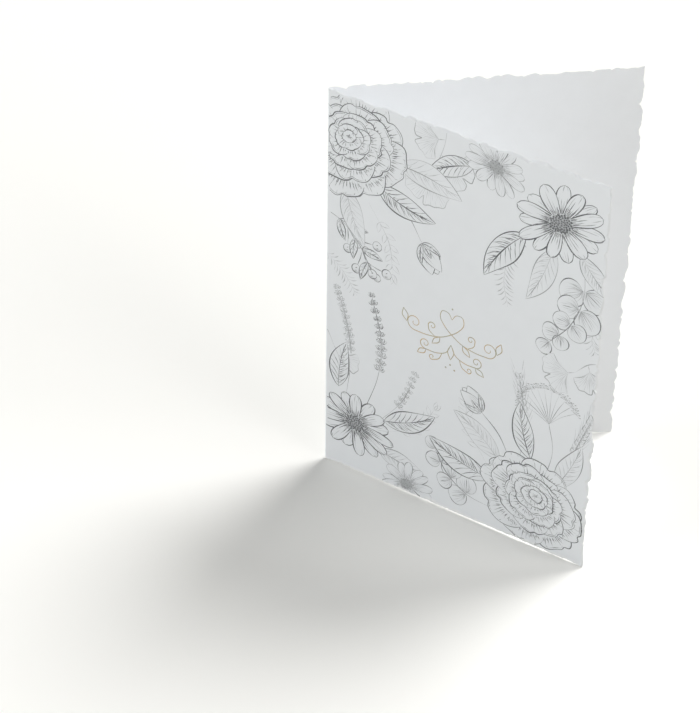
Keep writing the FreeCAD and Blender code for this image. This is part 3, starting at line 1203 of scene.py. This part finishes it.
def make_paper():
    material, tree, shader = new_material("cotton_paper")
    colour = paper_surface(tree, shader)
    colour = add_mix(tree, add_attribute(tree, "wash"), colour, INK)
    # The torn band's whiter colour: bared fibre, with painted highlight on the lower edge and painted glints
    colour = add_mix(tree, add_attribute(tree, "torn"), colour, TORN_PAPER)
    set_inputs(shader, {"Base Color": colour})
    return material


def make_fibre():
    material, tree, shader = new_material("cotton_fibre")
    pale = add_ramp(tree, add_noise(tree, LOOSE_FIBRE_SCALE), 0.3, 0.7)
    colour = add_mix(tree, pale, PAPER, TORN_PAPER)
    set_inputs(shader, {"Base Color": colour, "Roughness": 0.9, "Specular IOR Level": PAPER_SHEEN})
    return material


def make_ink():
    """Pencil-grey ink, broken by the paper's grain, over the paper's own colour."""
    material, tree, shader = new_material("grey_ink")
    colour = paper_surface(tree, shader)
    grain = add_ramp(tree, add_noise(tree, INK_GRAIN_SCALE, 2.0), 0.3, 0.65, 0.7, 1.0)
    tone = add_math(tree, "MULTIPLY", add_attribute(tree, "tone"), grain)
    set_inputs(shader, {"Base Color": add_mix(tree, tone, colour, INK)})
    return material


def make_foil():
    material, tree, shader = new_material("gold_foil")
    drift = add_ramp(tree, add_noise(tree, FOIL_DRIFT_SCALE, 2.0), 0.38, 0.62)
    warm = add_mix(tree, drift, *FOIL_SHADES)
    fleck = add_ramp(tree, add_noise(tree, FOIL_FLECK_SCALE, 2.0), 0.52, 0.70)
    worn = add_noise(tree, FOIL_WEAR_SCALE)
    set_inputs(shader, {
        "Base Color": add_mix(tree, fleck, warm, FOIL_FLECK),
        "Roughness": add_ramp(tree, worn, 0.3, 0.7, 0.24, 0.42),
        "Normal": add_bump(tree, worn, FOIL_WEAR_DEPTH, 0.4),
        "Metallic": 1.0,
    })
    return material


# Surroundings

def make_floor():
    """A wide pale floor that shows white to the camera where nothing shades it."""
    bpy.ops.mesh.primitive_plane_add(size=FLOOR_SIZE)
    floor = bpy.context.object
    floor.name = "floor"
    material, tree, shader = new_material("pale_floor")
    grain = add_ramp(tree, add_noise(tree, FLOOR_GRAIN_SCALE), 0.3, 0.7)
    plain = add_mix(tree, grain, *FLOOR_SHADES)
    colour = add_mix(tree, add_seen(tree), plain, FLOOR_SEEN)
    set_inputs(shader, {"Base Color": colour, "Roughness": 1.0, "Specular IOR Level": 0.0})
    floor.data.materials.append(material)


def make_light():
    world = bpy.data.worlds.new("daylight")
    bpy.context.scene.world = world
    world.use_nodes = True
    tree = world.node_tree
    sky = tree.nodes["Background"]
    set_inputs(sky, {"Color": SKY_COLOUR, "Strength": SKY_STRENGTH})
    white = add_node(tree, "Background", {"Color": (1, 1, 1), "Strength": 1.0})
    backgrounds = {0: add_seen(tree), 1: sky.outputs["Background"], 2: white.outputs["Background"]}
    mix = add_node(tree, "MixShader", backgrounds)
    set_inputs(tree.nodes["World Output"], {"Surface": mix.outputs["Shader"]})
    for name, settings in LAMPS.items():
        make_lamp(name, *settings)


def make_lamp(name, azimuth, elevation, strength, softness, colour):
    data = bpy.data.lights.new(name, "SUN")
    data.energy = strength
    data.color = colour
    data.angle = math.radians(softness)
    lamp = bpy.data.objects.new(name, data)
    across, up = math.radians(azimuth), math.radians(elevation)
    towards = Vector((math.cos(across) * math.cos(up), math.sin(across) * math.cos(up), math.sin(up)))
    lamp.rotation_euler = towards.to_track_quat("Z", "Y").to_euler()
    bpy.context.scene.collection.objects.link(lamp)


def make_camera():
    data = bpy.data.cameras.new("camera")
    data.sensor_width = SENSOR_WIDTH
    data.lens = CAMERA_FOCAL_PX * SENSOR_WIDTH / FRAME_HEIGHT_PX
    data.clip_start = 0.01
    data.clip_end = 20.0
    camera = bpy.data.objects.new("camera", data)
    pitch = Matrix.Rotation(math.radians(90 - CAMERA_ELEVATION), 4, "X")
    roll = Matrix.Rotation(math.radians(CAMERA_ROLL), 4, "Z")
    turn = Matrix.Rotation(math.radians(CAMERA_AZIMUTH), 4, "Z")
    camera.matrix_world = Matrix.Translation(Vector(CAMERA_PLACE) * MM) @ turn @ pitch @ roll
    bpy.context.scene.collection.objects.link(camera)
    bpy.context.scene.camera = camera


make_camera()
make_light()
make_floor()
edges = Perimeter()
art = LineArt(edges, 4)
draw_front(art)
make_sheet(edges, art, make_paper())
make_fibres(edges, make_fibre())
make_print(art, make_ink())
make_ornament(make_foil())
bpy.context.scene.view_settings.view_transform = "Standard"
